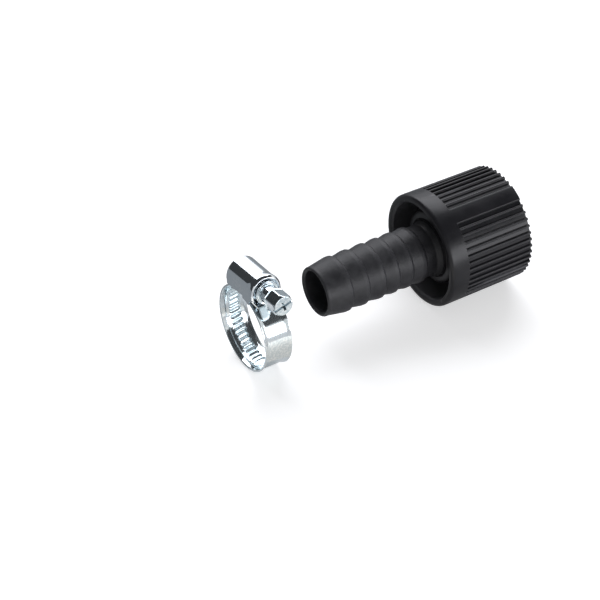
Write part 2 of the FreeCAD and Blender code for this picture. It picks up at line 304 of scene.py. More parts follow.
def plasticMaterial(name, look):
    material, tree, shader = newMaterial(name)
    skin = placeGroup(tree, skinGroup, {"Grain per m": look["grain"], "Clouds per m": look["clouds"]})
    wearHighlight = placeGroup(tree, edgeWearHighlightGroup, {"From": look["rubFrom"], "To": look["rubTo"]})
    body = mixColor(tree, skin.outputs["Clouds"], look["dark"], look["light"])
    # Painted light: the recess mark mixes in a paler colour that stands in for fill light inside the nut's recess
    hollow = tree.nodes.new("ShaderNodeAttribute")
    hollow.attribute_name = "worked"
    body = mixColor(tree, hollow.outputs["Fac"], body, look["hollow"])
    # Edge wear and painted highlight: the convex-edge mask mixes in a lighter colour that stands in for glints on
    # the rib edges
    tree.links.new(mixColor(tree, wearHighlight.outputs["Mask"], body, look["edge"]), shader.inputs["Base Color"])
    tree.links.new(rangeNode(tree, skin.outputs["Clouds"], 0.0, 1.0, look["rough"][0], look["rough"][1]),
                   shader.inputs["Roughness"])
    shader.inputs["Specular IOR Level"].default_value = look["specular"]
    addBump(tree, shader, skin.outputs["Height"], look["bump"], 0.0001)
    return material


def zincMaterial(name, look):
    material, tree, shader = newMaterial(name)
    plate = placeGroup(tree, zincGroup, {"Spangle per m": look["spangle"], "Clouds per m": look["clouds"]})
    worked = tree.nodes.new("ShaderNodeAttribute")
    worked.attribute_name = "worked"
    metal = mixColor(tree, plate.outputs["Clouds"], look["cool"], look["warm"])
    metal = mixColor(tree, plate.outputs["Spangle"], look["deep"], metal)
    matted = mixColor(tree, plate.outputs["Spangle"], look["workedDeep"], look["workedColor"])
    tree.links.new(mixColor(tree, worked.outputs["Fac"], metal, matted), shader.inputs["Base Color"])
    rough = rangeNode(tree, plate.outputs["Spangle"], 0.0, 1.0, look["rough"][1], look["rough"][0])
    matt = mathNode(tree, "MULTIPLY", worked.outputs["Fac"], look["workedRough"])
    tree.links.new(mathNode(tree, "ADD", rough, matt), shader.inputs["Roughness"])
    shader.inputs["Metallic"].default_value = look["metallic"]
    addBump(tree, shader, plate.outputs["Height"], look["bump"], 0.00005)
    return material


nutPlastic = plasticMaterial("nutPlastic", {
    "dark": (0.0118, 0.0116, 0.0135), "light": (0.0165, 0.0163, 0.0185), "edge": (0.075, 0.075, 0.08),
    "hollow": (0.075, 0.075, 0.08), "rough": (0.28, 0.34), "specular": 0.3, "bump": 0.12,
    "grain": 4200.0, "clouds": 140.0, "rubFrom": 0.515, "rubTo": 0.60})
tailPlastic = plasticMaterial("tailPlastic", {
    "dark": (0.020, 0.020, 0.0225), "light": (0.033, 0.033, 0.036), "edge": (0.042, 0.042, 0.046),
    "hollow": (0.021, 0.021, 0.0235), "rough": (0.43, 0.51), "specular": 0.36, "bump": 0.55,
    "grain": 2300.0, "clouds": 260.0, "rubFrom": 0.53, "rubTo": 0.68})
washerRubber = plasticMaterial("washerRubber", {
    "dark": (0.008, 0.008, 0.008), "light": (0.014, 0.014, 0.014), "edge": (0.02, 0.02, 0.02),
    "hollow": (0.008, 0.008, 0.008), "rough": (0.62, 0.72), "specular": 0.4, "bump": 0.3,
    "grain": 2600.0, "clouds": 200.0, "rubFrom": 0.55, "rubTo": 0.7})
bandSteel = zincMaterial("bandSteel", {
    "cool": (0.79, 0.85, 0.87), "warm": (0.88, 0.91, 0.91), "deep": (0.68, 0.75, 0.78),
    "workedColor": (0.76, 0.84, 0.87), "workedDeep": (0.56, 0.68, 0.73), "workedRough": 0.17,
    "metallic": 0.95, "rough": (0.07, 0.13), "spangle": 1250.0, "clouds": 420.0, "bump": 0.09})
housingSteel = zincMaterial("housingSteel", {
    "cool": (0.79, 0.84, 0.88), "warm": (0.86, 0.89, 0.91), "deep": (0.77, 0.82, 0.86),
    "workedColor": (0.60, 0.68, 0.70), "workedDeep": (0.48, 0.57, 0.60), "workedRough": 0.32,
    "metallic": 1.0, "rough": (0.07, 0.10), "spangle": 1300.0, "clouds": 200.0, "bump": 0.025})
screwSteel = zincMaterial("screwSteel", {
    "cool": (0.78, 0.84, 0.87), "warm": (0.85, 0.89, 0.90), "deep": (0.58, 0.66, 0.71),
    "workedColor": (0.84, 0.89, 0.90), "workedDeep": (0.48, 0.57, 0.61), "workedRough": 0.16,
    "metallic": 1.0, "rough": (0.09, 0.13), "spangle": 1100.0, "clouds": 700.0, "bump": 0.05})
print("materials made")


# Union nut
nutSizes = {
    "threadMajorR": 16.624, "threadPitch": 2.309, "threadRootW": 0.385, "threadFlankDeg": 27.5,
    "threadLen": 13.1, "threadStep": 0.27, "threadSoft": 0.09, "threadRunOut": 0.9,
    "boreR": mounts["pump_thread"]["dims"]["r_mm"], "entry": 0.5, "chamberR": 15.95,
    "rearR": 20.6, "frontR": 20.89, "length": -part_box("union_nut")[0].y / mm, "frontRound": 1.4,
    "rearRound": 0.3, "collarLen": 7.2, "seatY": -19.53, "webFrontY": -22.53, "hubFrontY": -29.83,
    "recessMouthR": 18.6, "recessR": 17.9, "recessFloorR": 17.6, "hubR": 13.8, "hubRound": 1.7,
    "hubHoleR": 10.6, "hubLip": 0.7, "hubLipEdge": 0.12,
    "ribPlaces": 50, "panelCount": 2, "panelTurnDeg": 63.7, "grooveDepth": 0.9, "grooveEnd": 0.12,
    "ribAcross": (0.0, 0.16, 0.32, 0.44, 0.52, 0.60, 1.30),
    "ribFall": (0.0, 0.03, 0.12, 0.26, 0.46, 1.0, 1.0),
    "endRows": (0.3, 0.12, 0.09, 0.06, 0.02, -0.04, -0.2), "endGap": 0.4, "skin": 0.4, "hollowShare": 0.6,
}


# How far the thread's groove reaches outside the bore, for heights y and angles
def threadDepth(y, angles, s):
    flank = math.tan(math.radians(s["threadFlankDeg"]))
    full = s["threadMajorR"] - s["boreR"]
    halfMouth = s["threadRootW"] / 2 + full * flank
    centre = s["threadPitch"] / 2 - s["threadLen"] - s["threadPitch"] * angles / (2 * math.pi)
    away = np.abs((y - centre + s["threadPitch"] / 2) % s["threadPitch"] - s["threadPitch"] / 2)
    rise = (halfMouth - away) / flank
    soft = s["threadSoft"]
    depth = 0.5 * (rise + np.sqrt(rise ** 2 + soft ** 2))
    over = depth - full
    depth = depth - 0.5 * (over + np.sqrt(over ** 2 + soft ** 2))
    return depth * ease(y, -s["threadLen"], s["threadRunOut"] - s["threadLen"])


# Columns round the nut: angles, and how deep the rib groove is there, from 0 to 1
def ribColumns(s):
    offsets = np.array(s["ribAcross"])
    depths = np.array(s["ribFall"])
    place = 2 * math.pi / s["ribPlaces"]
    scale = place / 2 / offsets[-1]
    around = s["ribPlaces"] // s["panelCount"]
    angles = []
    shares = []
    for i in range(s["ribPlaces"]):
        start = math.radians(s["panelTurnDeg"]) + i * place
        step = i % around
        sides = [(-offsets[:0:-1], depths[:0:-1]), (offsets[:-1], depths[:-1])]
        for side, (offset, depth) in enumerate(sides):
            plain = step == 0 or (step == 1 and side == 0) or (step == around - 1 and side == 1)
            angles.extend(start + offset * scale)
            shares.extend(depth * (0.0 if plain else 1.0))
    return np.array(angles), np.array(shares)


def makeUnionNut(s):
    corners = [
        (s["boreR"] + s["entry"], 0, 0.08),
        (s["rearR"], 0, s["rearRound"]),
        (s["frontR"], -s["length"], s["frontRound"]),
        (s["recessMouthR"], -s["length"], 0.15),
        (s["recessR"], 1 - s["length"], 0.3),
        (s["recessFloorR"], s["webFrontY"], 1.0),
        (s["hubR"], s["webFrontY"], 1.0),
        (s["hubR"], s["hubFrontY"], s["hubRound"]),
        (s["hubHoleR"] + s["hubLip"] / 2, s["hubFrontY"], s["hubLip"] / 2),
        (s["hubHoleR"] + s["hubLipEdge"], s["hubFrontY"] - s["hubLip"], 0.04),
        (s["hubHoleR"], s["hubFrontY"] - s["hubLip"] + s["hubLipEdge"], 0.04),
        (s["hubHoleR"], s["seatY"], 0.1),
        (s["chamberR"], s["seatY"], 0.2),
        (s["chamberR"], -s["threadLen"], 0.06),
        (s["boreR"], -s["threadLen"], 0.1),
        (s["boreR"], -s["entry"], 0.1),
    ]
    profile = divided(roundedLine(corners, 5), 3.0)
    inThread = (np.abs(profile[:, 0] - s["boreR"]) < 0.02) & (profile[:, 1] > -s["threadLen"])
    profile = profile[~inThread]
    threadRows = np.arange(-s["threadLen"] + 0.1, -s["entry"], s["threadStep"])
    profile = np.concatenate([profile, np.stack([np.full(len(threadRows), s["boreR"]), threadRows], 1)])
    endY = s["collarLen"] - s["length"]
    profile = profile[(profile[:, 0] < s["rearR"] - s["skin"]) | (np.abs(profile[:, 1] - endY) > s["endGap"])]
    outer = np.where((profile[:, 0] > s["rearR"] - s["skin"]) & (profile[:, 1] > endY))[0]
    ends = endY + np.array(s["endRows"])
    slope = (s["rearR"] - s["frontR"]) / s["length"]
    endRows = np.stack([s["rearR"] + slope * ends, ends], 1)
    last = outer[-1] + 1
    profile = np.concatenate([profile[:last], endRows, profile[last:]])
    angles, shares = ribColumns(s)
    y = profile[:, 1:2]
    onRibs = (profile[:, :1] > s["rearR"] - s["skin"]) & (y > endY - 0.1)
    cut = s["grooveDepth"] * shares * ease(y, endY, endY + s["grooveEnd"]) * onRibs
    radii = profile[:, :1] - cut
    inBore = (profile[:, :1] < s["boreR"] + s["entry"] + 0.1) & (y > -s["threadLen"] - 0.02)
    radii = np.where(inBore, np.maximum(radii, s["boreR"] + threadDepth(y, angles, s)), radii)
    points = turnedPoints(profile, angles, radii)
    nut = makePiece("unionNut", points, gridFaces(*points.shape[:2], True, True), 32)
    markRecessLight(nut, s)
    return nut


# Marks the walls and floor of the nut's recess, painted paler than its outside to stand in for the fill light that
# reaches into it
def markRecessLight(nut, s):
    at = np.array([(math.hypot(v.co.x, v.co.z) / mm, v.co.y / mm) for v in nut.data.vertices])
    r, y = at.T
    inside = ease(s["recessMouthR"] + 0.2 - r, 0.0, 0.5) * ease(r - s["hubR"], -0.3, 0.3)
    inside = inside * (y < s["webFrontY"] + 0.3) * (y > -s["length"] + 0.05)
    onFloor = ease(-y, -s["webFrontY"] - 0.5, 3 - s["webFrontY"])
    share = np.where(r > s["recessFloorR"] - 0.3, 1.0, onFloor)
    # Painted light: how much of the paler recess colour each point gets
    markPressMattAndRecessLight(nut, inside * np.maximum(share, s["hollowShare"]))


unionNut = makeUnionNut(nutSizes)
dress(unionNut, "union_nut", "nut", nutPlastic)
print("union nut made:", len(unionNut.data.polygons), "faces")


# Hose tail
tailSizes = {
    "tipY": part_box("hose_tail")[0].y / mm, "flangeFrontY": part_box("hose_tail")[1].y / mm,
    "flangeR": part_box("hose_tail")[1].x / mm, "flangeT": 3.2, "flangeChamfer": 0.5,
    "boreR": 7.6, "boreChamfer": 0.7, "tipR": 9.1, "tipRound": 0.765, "tipLand": 1.4,
    "rootR": 9.4, "crestR": mounts["hose_tail"]["dims"]["r_mm"], "crestLand": 0.9, "crestRound": 0.45,
    "crestEdge": 0.16, "crestDrop": 0.9, "tipToCrest": 8.9, "pitches": [6.7, 6.7, 5.67, 5.67, 5.67],
    "neckR": 10.54, "neckFrontY": -30.9, "neckTaper": 1.9, "columns": 240,
}


def makeHoseTail(s):
    corners = [
        (s["boreR"], s["tipY"] + s["boreChamfer"], 0.3),
        (s["boreR"] + s["boreChamfer"], s["tipY"], 0.25),
        (s["tipR"], s["tipY"], s["tipRound"]),
        (s["tipR"], s["tipY"] + s["tipLand"], 0.5),
    ]
    crestY = s["tipY"] + s["tipToCrest"]
    for pitch in s["pitches"] + [0]:
        corners.append((s["crestR"], crestY - s["crestLand"], 0.5))
        corners.append((s["crestR"], crestY + s["crestRound"], s["crestEdge"]))
        corners.append((s["rootR"], crestY + s["crestDrop"] + s["crestRound"], s["crestEdge"]))
        crestY += pitch
    corners += [
        (s["rootR"], s["neckFrontY"] - s["neckTaper"], s["neckTaper"] / 2),
        (s["neckR"], s["neckFrontY"], s["neckTaper"] / 2),
        (s["neckR"], s["flangeFrontY"] - s["flangeT"], 0.2),
        (s["flangeR"], s["flangeFrontY"] - s["flangeT"], s["flangeChamfer"]),
        (s["flangeR"], s["flangeFrontY"], s["flangeChamfer"]),
        (s["boreR"] + s["boreChamfer"], s["flangeFrontY"], 0.2),
        (s["boreR"], s["flangeFrontY"] - s["boreChamfer"], 0.3),
    ]
    profile = divided(roundedLine(corners, 6), 1.6)
    angles = np.linspace(0, 2 * math.pi, s["columns"], endpoint=False)
    points = turnedPoints(profile, angles)
    return makePiece("hoseTail", points, gridFaces(*points.shape[:2], True, True), 50)


hoseTail = makeHoseTail(tailSizes)
dress(hoseTail, "hose_tail", "tail", tailPlastic)
print("hose tail made:", len(hoseTail.data.polygons), "faces")


# Sealing washer
washerSizes = {"low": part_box("sealing_washer")[0].y / mm, "high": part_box("sealing_washer")[1].y / mm,
               "outerR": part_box("sealing_washer")[1].x / mm, "holeR": 9.6, "edgeRound": 0.25,
               "columns": 160}


def makeWasher(s):
    corners = [(s["holeR"], s["low"], s["edgeRound"]), (s["outerR"], s["low"], s["edgeRound"]),
               (s["outerR"], s["high"], s["edgeRound"]), (s["holeR"], s["high"], s["edgeRound"])]
    profile = divided(roundedLine(corners, 5), 1.5)
    points = turnedPoints(profile, np.linspace(0, 2 * math.pi, s["columns"], endpoint=False))
    return makePiece("sealingWasher", points, gridFaces(*points.shape[:2], True, True))


sealingWasher = makeWasher(washerSizes)
dress(sealingWasher, "sealing_washer", "washer", washerRubber)
print("sealing washer made")


# The clip's own frame: ring axis along Y, housing on top (+Z), screw head towards +X
clipCentre = np.array(mounts["clip_ring"]["pos_m"]) / mm
screwAxis = np.array(joints["clip_screw"]["axis"])
clipLean = math.atan2(screwAxis[2], screwAxis[0]) - math.pi


def placed(points):
    local = np.asarray(points, float).reshape(-1, 3)
    x = local[:, 0] * math.cos(clipLean) - local[:, 2] * math.sin(clipLean)
    z = local[:, 0] * math.sin(clipLean) + local[:, 2] * math.cos(clipLean)
    return np.stack([x, local[:, 1], z], axis=1) + clipCentre


# A point of the shared frame in the clip's own frame
def localPoint(point):
    x, y, z = np.array(point) - clipCentre
    along = x * math.cos(clipLean) + z * math.sin(clipLean)
    return along, y, z * math.cos(clipLean) - x * math.sin(clipLean)


# Clip band
bandSizes = {
    "innerR": mounts["clip_ring"]["dims"]["r_mm"], "thickness": 0.75, "width": 10.4,
    "flareW": 1.5, "flareH": 0.6, "flareEase": 0.25, "flareSoft": 0.3, "flareGain": 1.12,
    "fineSide": 2.9, "fineRows": 25, "rise": 1.0, "riseFromDeg": 200.0, "freeEndDeg": 111.0,
    "fixedEndDeg": 110.0, "notchDeg": 72.0, "notchHalfDeg": 8.4, "notchSide": 4.3, "edgeRound": 0.2,
    "toothPitch": 2.0, "toothCount": 22, "firstToothDeg": 116.0, "toothW": 4.2, "toothPoint": 0.75,
    "toothDepth": 0.42, "toothSlantDeg": 8.0, "stepsPerTooth": 16, "pressedSide": 2.3,
}


# How far each point of the band is pressed out by the teeth, from 0 to 1
def toothShare(turns, y, s):
    middleR = s["innerR"] + s["thickness"] / 2
    slant = math.tan(math.radians(s["toothSlantDeg"]))
    step = math.degrees(s["toothPitch"] / middleR)
    number = np.clip(np.round((turns - s["firstToothDeg"] + np.degrees(y * slant / middleR)) / step),
                     0, s["toothCount"] - 1)
    centre = s["firstToothDeg"] + number * step
    along = np.abs(np.radians(turns - centre) * middleR + y * slant)
    share = np.clip(along / (s["toothPitch"] / 2), 0, 1)
    ends = ease(s["toothW"] / 2 + 0.25 - s["toothPoint"] * share - np.abs(y), 0.0, 0.55)
    return ends * (0.5 + 0.5 * np.cos(math.pi * share))


def makeClipBand(s):
    start = s["freeEndDeg"]
    end = s["fixedEndDeg"] + 360
    middleR = s["innerR"] + s["thickness"] / 2
    toothStep = math.degrees(s["toothPitch"] / middleR)
    lastTooth = s["firstToothDeg"] + s["toothCount"] * toothStep
    turns = np.arange(start, end, toothStep / s["stepsPerTooth"])
    notch = s["notchDeg"] + 360
    marks = [notch + side * (s["notchHalfDeg"] + more) for side in (-1, 1) for more in (0.0, 0.12)]
    turns = np.unique(np.concatenate([turns, marks, [end]]))
    half = s["width"] / 2
    fine = np.linspace(-s["fineSide"], s["fineSide"], s["fineRows"])
    across = np.concatenate([fine, np.linspace(3.2, half - 0.28, 10),
                             half - s["edgeRound"] * (1 - np.sin(np.linspace(0.2, 1, 5) * math.pi / 2))])
    across = np.unique(np.round(np.concatenate([across, -across]), 5))
    inNotch = np.abs(turns - notch) < s["notchHalfDeg"] + 0.01
    limit = np.where(inNotch, s["notchSide"], half)[:, None]
    y = across[None, :] * limit / half
    flat = half - s["flareW"]
    bend = np.maximum(np.abs(y) - flat + s["flareEase"], 0)
    lift = np.sqrt(bend ** 2 + s["flareSoft"] ** 2) - s["flareSoft"]
    flare = s["flareH"] / (s["flareW"] + s["flareEase"] / 2) * lift * s["flareGain"]
    flare = np.minimum(flare, s["flareH"])
    edge = np.clip((np.abs(y) - limit + s["edgeRound"]) / s["edgeRound"], 0, 1)
    inset = s["edgeRound"] * (1 - np.sqrt(1 - edge ** 2))
    slant = math.tan(math.radians(s["toothSlantDeg"]))
    leaning = ease(turns, start, start + 5) * (1 - ease(turns, lastTooth, lastTooth + 8))
    lean = np.degrees(np.clip(y, -s["toothW"] / 2, s["toothW"] / 2) * slant / middleR)
    turns = turns[:, None] - lean * leaning[:, None]
    free = turns < s["riseFromDeg"]
    base = s["innerR"] + np.where(free, s["rise"], 0)
    pressed = toothShare(turns, y, s)
    inner = base + flare + inset + pressed * s["toothDepth"]
    outer = base + s["thickness"] + flare - inset + pressed * s["toothDepth"]
    riseTurn = math.radians(s["riseFromDeg"])
    middleX = np.where(free, -s["rise"] * math.cos(riseTurn), 0)
    middleZ = np.where(free, -s["rise"] * math.sin(riseTurn), 0)
    angle = np.radians(turns)
    grids = []
    for radius in (outer, inner):
        grids.append(np.stack([middleX + radius * np.cos(angle), y + 0 * angle,
                               middleZ + radius * np.sin(angle)], axis=2))
    points, faces = sheetShell(grids)
    band = makePiece("clipBand", placed(points), faces, 50)
    zone = ease(s["pressedSide"] + 0.2 - np.abs(y), 0.0, 0.4)
    zone = zone * ease(turns, s["firstToothDeg"] - 4, s["firstToothDeg"])
    zone = zone * (1 - ease(turns, lastTooth - 5, lastTooth))
    markPressMattAndRecessLight(band, np.concatenate([zone.ravel(), zone.ravel()]))
    return band


clipBand = makeClipBand(bandSizes)
dress(clipBand, "clip_band", "clip", bandSteel)
print("clip band made:", len(clipBand.data.polygons), "faces")


# Clip housing
housingSizes = {
    "axisZ": 18.18, "archR": 5.9, "sheet": 0.8, "footZ": 16.05, "rearX": -6.3, "frontX": 10.25,
    "lipLen": 2.2, "lipOut": 0.2, "lipBend": 1.6, "lipBendDeg": 58.0, "lipEdge": 0.35,
    "rearOut": 0.19, "edgeRound": 0.18,
    "wallFrontX": 9.75, "wallHoleR": 2.08, "wallFlatR": 4.1, "wallDish": 1.3,
    "floorT": 0.6, "floorThinning": 0.3, "floorLeanDeg": 18.0, "floorHalfW": 3.6, "floorRearX": 5.0,
    "bandOutR": 15.15,
    "footW": 2.9, "footSide": -2.2, "footEndDeg": 36.0, "footRound": 1.2, "footBack": 0.35,
    "footOverlap": 1.2, "footSoft": 0.14,
    "clawDeg": 72.0, "clawHalfDeg": 8.0, "clawSide": 4.4, "clawT": 0.9, "clawLowR": 14.4,
}


# Line of an arch in (y, z), from one foot over the top to the other
def archLine(radius, footZ, axisZ, steps=48):
    turns = np.linspace(math.pi, 0, steps + 1)
    dome = np.stack([radius * np.cos(turns), axisZ + radius * np.sin(turns)], axis=1)
    legs = np.linspace(footZ, axisZ, 5)[:-1]
    left = np.stack([np.full(len(legs), -radius), legs], axis=1)
    return np.concatenate([left, dome, (left * np.array([-1, 1]))[::-1]])


# The arch's section (x, radius), outside and inside: a slight swell, then the front bends in
def archSection(s):
    inner = s["archR"] - s["sheet"]
    turn = math.radians(s["lipBendDeg"])
    bend, edge = s["lipBend"], s["lipEdge"]
    startX = s["frontX"] - bend * math.sin(turn) - edge * (1 - math.sin(turn))
    swell = s["archR"] + s["lipOut"]
    rearR = s["archR"] + s["rearOut"]
    outside = [(s["rearX"] + s["edgeRound"] * (1 - math.sin(t)), rearR - s["edgeRound"] * (1 - math.cos(t)))
               for t in np.linspace(math.pi / 2, 0, 5)]
    for x in np.linspace(s["rearX"] + 0.6, startX, 24):
        taper = max(0.0, s["rearOut"] * (startX - s["lipLen"] - x) / (startX - s["lipLen"] - s["rearX"]))
        lip = s["lipOut"] * float(ease(x, startX - s["lipLen"], startX))
        outside.append((x, s["archR"] + taper + lip))
    for t in np.linspace(0, turn, 10)[1:]:
        outside.append((startX + bend * math.sin(t), swell - bend * (1 - math.cos(t))))
    middleX = startX + (bend - edge) * math.sin(turn)
    middleR = swell - bend + (bend - edge) * math.cos(turn)
    for t in np.linspace(turn, math.pi / 2, 6)[1:]:
        outside.append((middleX + edge * math.sin(t), middleR + edge * math.cos(t)))
    outside = np.array(outside)
    small = min(0.1, (outside[-1, 1] - inner) * 0.6)
    share = np.clip((outside[:, 0] - (s["frontX"] - small)) / small, 0, 1)
    rearShare = np.clip((s["rearX"] + small - outside[:, 0]) / small, 0, 1)
    inside = outside.copy()
    inside[:, 1] = inner + small * (1 - np.sqrt(1 - np.maximum(share, rearShare) ** 2))
    return outside, inside


def archShell(s):
    grids = []
    for section in archSection(s):
        rows = []
        for x, radius in section:
            line = archLine(radius, s["footZ"], s["axisZ"])
            rows.append(np.concatenate([np.full((len(line), 1), x), line], axis=1))
        grids.append(rows)
    return sheetShell(grids)


# Underside of the floor over the band
def floorZ(x, s):
    lean = math.radians(s["floorLeanDeg"])
    return (s["bandOutR"] - x * math.sin(lean)) / math.cos(lean)


def troughSheet(s):
    under = []
    over = []
    top = s["footZ"] + 0.35
    for x in np.linspace(s["floorRearX"], s["frontX"], 12):
        low = floorZ(x, s)
        thin = float(ease(x, s["frontX"] - 2, s["frontX"])) * s["floorThinning"]
        for rows, inset, lift in ((under, 0.0, 0.0), (over, s["sheet"] - 0.15 - thin, s["floorT"] - thin)):
            side = s["archR"] - 0.03 - inset
            flat = s["floorHalfW"] - inset / 3
            corners = [(-side, top, 0), (-side, s["footZ"] + 0.1, 0.5), (-flat, low + lift, 0.8),
                       (flat, low + lift, 0.8), (side, s["footZ"] + 0.1, 0.5), (side, top, 0)]
            line = roundedLine(corners, 6, closed=False)
            rows.append(np.concatenate([np.full((len(line), 1), x), line], axis=1))
    return sheetShell([under, over])


def frontWall(s):
    turns = np.linspace(0, 2 * math.pi, 96, endpoint=False)
    reach = s["archR"] - s["sheet"] + 0.1
    drop = s["axisZ"] - s["footZ"]
    outerR = np.full(len(turns), reach)
    down = np.sin(turns) < -0.05
    outerR[down] = np.minimum(reach, drop / -np.sin(turns[down]))
    rings = []
    inside = np.minimum(outerR, s["wallFlatR"])
    hole = s["wallHoleR"]
    dish = s["wallDish"]
    for radius, back in ((hole, s["sheet"]), (hole, 0), (inside, 0), (outerR, dish),
                         (outerR, dish + s["sheet"]), (inside, s["sheet"])):
        x = s["wallFrontX"] - back
        rings.append(np.stack([np.full(len(turns), x), radius * np.cos(turns),
                               s["axisZ"] + radius * np.sin(turns)], axis=1))
    rings = np.array(rings)
    return rings.reshape(-1, 3), gridFaces(*rings.shape[:2], True, True)


def footTongue(s):
    turn = math.radians(s["footEndDeg"])
    bendX = s["frontX"] - s["footBack"]
    startX = bendX - s["footOverlap"]
    end = (s["bandOutR"] * math.cos(turn), s["bandOutR"] * math.sin(turn))
    lower = roundedLine([(startX, floorZ(startX, s), 0), (bendX, floorZ(bendX, s), 0.6),
                         (end[0], end[1], 0)], 6, closed=False)
    lower = divided(lower, 0.35, closed=False)
    heading = np.gradient(lower, axis=0)
    heading = heading / np.hypot(heading[:, 0], heading[:, 1])[:, None]
    normal = np.stack([-heading[:, 1], heading[:, 0]], axis=1)
    run = np.concatenate([[0], np.cumsum(np.hypot(*np.diff(lower, axis=0).T))])
    toEnd = run[-1] - run
    across = np.linspace(-1, 1, 15)
    grids = []
    for lift in (s["floorT"], 0.0):
        rows = []
        for point, side, left in zip(lower, normal, toEnd):
            short = max(0.0, 1 - left / s["footRound"])
            half = s["footW"] / 2 - s["footRound"] * (1 - math.sqrt(max(0.0, 1 - short ** 2)))
            edge = np.clip((np.abs(across) - 1 + s["footSoft"]) / s["footSoft"], 0, 1)
            soft = 2 - np.sqrt(1 - edge ** 2) - math.sqrt(1 - min(1.0, short) ** 2)
            soft = soft * s["footSoft"]
            height = lift - np.minimum(soft, 0.2) if lift else np.zeros(len(across))
            rows.append(np.stack([point[0] + side[0] * height, s["footSide"] + across * half,
                                  point[1] + side[1] * height], axis=1))
        grids.append(rows)
    return sheetShell(grids)


def clawBlock(s, side):
    turns = np.radians(np.linspace(s["clawDeg"] - s["clawHalfDeg"], s["clawDeg"] + s["clawHalfDeg"], 7))
    radii = np.linspace(s["clawLowR"], s["axisZ"] - s["floorT"], 5)
    grids = []
    for y in (s["clawSide"], s["clawSide"] + s["clawT"]):
        grids.append([[(r * math.cos(t), side * y, r * math.sin(t)) for r in radii] for t in turns])
    return sheetShell(grids)


def makeClipHousing(s):
    shells = [archShell(s), troughSheet(s), frontWall(s), footTongue(s), clawBlock(s, -1), clawBlock(s, 1)]
    points = []
    faces = []
    for shellPoints, shellFaces in shells:
        start = sum(len(part) for part in points)
        points.append(shellPoints)
        faces += [tuple(start + k for k in face) for face in shellFaces]
    housing = makePiece("clipHousing", placed(np.concatenate(points)), faces, 40)
    low = np.array([localPoint(vertex.co / mm) for vertex in housing.data.vertices])
    onFoot = (low[:, 0] > s["frontX"] - 0.2) & (np.abs(low[:, 1] - s["footSide"]) < s["footW"] / 2 + 0.1)
    markPressMattAndRecessLight(housing, onFoot & (low[:, 2] < floorZ(low[:, 0], s) + s["floorT"] + 0.1))
    return housing


clipHousing = makeClipHousing(housingSizes)
dress(clipHousing, "clip_housing", "clip", housingSteel)
print("clip housing made:", len(clipHousing.data.polygons), "faces")


# Clip screw
screwSizes = {
    "axisZ": housingSizes["axisZ"], "wormCrestR": 2.85, "wormRootR": 2.05, "wormCrestW": 0.6,
    "wormFlankDeg": 20.0, "wormFrontX": 8.85, "wormLen": 12.4, "journalLen": 1.1, "pitch": 2.0,
    "neckR": 2.0, "collarX": 9.85, "collarR": 4.3, "collarT": 1.0, "collarDish": 0.3,
    "shankR": 3.35, "shankLen": 4.6, "rimOut": 0.32, "rimLen": 0.18, "rimStep": 0.08,
    "hexAf": 7.0, "hexCornerR": 3.95, "hexLen": 6.2, "hexTurnDeg": 38.4, "faceR": 3.4, "faceChamfer": 1.1,
    "slotW": 0.9, "slotDepth": 1.3, "slotTurnDeg": 15.0, "crossLen": 3.6, "columns": 144,
}


def makeClipScrew(s):
    rearX = s["wormFrontX"] - s["wormLen"]
    hexX = s["collarX"] + s["collarT"] + s["shankLen"]
    tipX = hexX + s["hexLen"]
    corners = [
        (rearX - s["journalLen"], 0, 0),
        (rearX - s["journalLen"], s["wormRootR"], 0.3),
        (rearX, s["wormRootR"], 0),
        (s["wormFrontX"], s["wormRootR"], 0),
        (s["wormFrontX"] + 0.05, s["neckR"], 0),
        (s["collarX"], s["neckR"], 0),
        (s["collarX"], s["collarR"], 0.25),
        (s["collarX"] + s["collarT"], s["collarR"], 0.12),
        (s["collarX"] + s["collarT"], s["collarR"] - 0.22, 0.1),
        (s["collarX"] + s["collarT"] - s["collarDish"], s["shankR"], 0.3),
        (hexX, s["shankR"], 0.1),
        (hexX, s["hexCornerR"] + s["rimOut"] / 2, 0.1),
        (hexX + s["rimLen"], s["hexCornerR"] + s["rimOut"] / 2, 0),
        (hexX + s["rimLen"] + s["rimStep"], s["hexCornerR"], 0),
        (tipX - s["faceChamfer"], s["hexCornerR"], 0.4),
        (tipX, s["faceR"], 0.3),
        (tipX, 0, 0),
    ]
    line = divided(roundedLine(corners, 6, closed=False), 0.16, closed=False)
    turns = math.radians(s["hexTurnDeg"]) + np.linspace(0, 2 * math.pi, s["columns"], endpoint=False)
    x = line[:, :1]
    radius = np.repeat(line[:, 1:2], len(turns), axis=1)
    sixth = math.pi / 3
    away = (turns - math.radians(s["hexTurnDeg"])) % sixth - sixth / 2
    beyond = np.clip((x - hexX - s["rimLen"]) / s["rimStep"], 0, 1)
    hexR = s["hexAf"] / 2 / np.cos(away) + s["rimOut"] * (1 - beyond)
    onHex = x > hexX - 0.02
    sharp = 140
    blended = (np.maximum(radius, 0.01) ** -sharp + hexR ** -sharp) ** (-1 / sharp)
    radius = np.where(onHex & (radius > s["shankR"] - 0.3), blended, radius)
    flank = math.tan(math.radians(s["wormFlankDeg"])) * (s["wormCrestR"] - s["wormRootR"])
    centre = rearX + s["pitch"] / 2 + (turns + math.pi / 2) / (2 * math.pi) * s["pitch"]
    apart = np.abs((x - centre + s["pitch"] / 2) % s["pitch"] - s["pitch"] / 2)
    ridge = ease(s["wormCrestW"] / 2 + flank + 0.1 - apart, 0, flank + 0.1)
    window = ease(x, rearX, rearX + 1.0) * ease(-x, -s["wormFrontX"], 0.8 - s["wormFrontX"])
    onWorm = (x > rearX) & (x < s["wormFrontX"])
    radius = np.where(onWorm, radius + (s["wormCrestR"] - s["wormRootR"]) * ridge * window, radius)
    points = np.stack([x + 0 * radius, radius * np.cos(turns), s["axisZ"] + radius * np.sin(turns)], axis=2)
    screw = makePiece("clipScrew", placed(points), gridFaces(*points.shape[:2], False, True), 34)
    cutSlots(screw, tipX, s)
    return screw


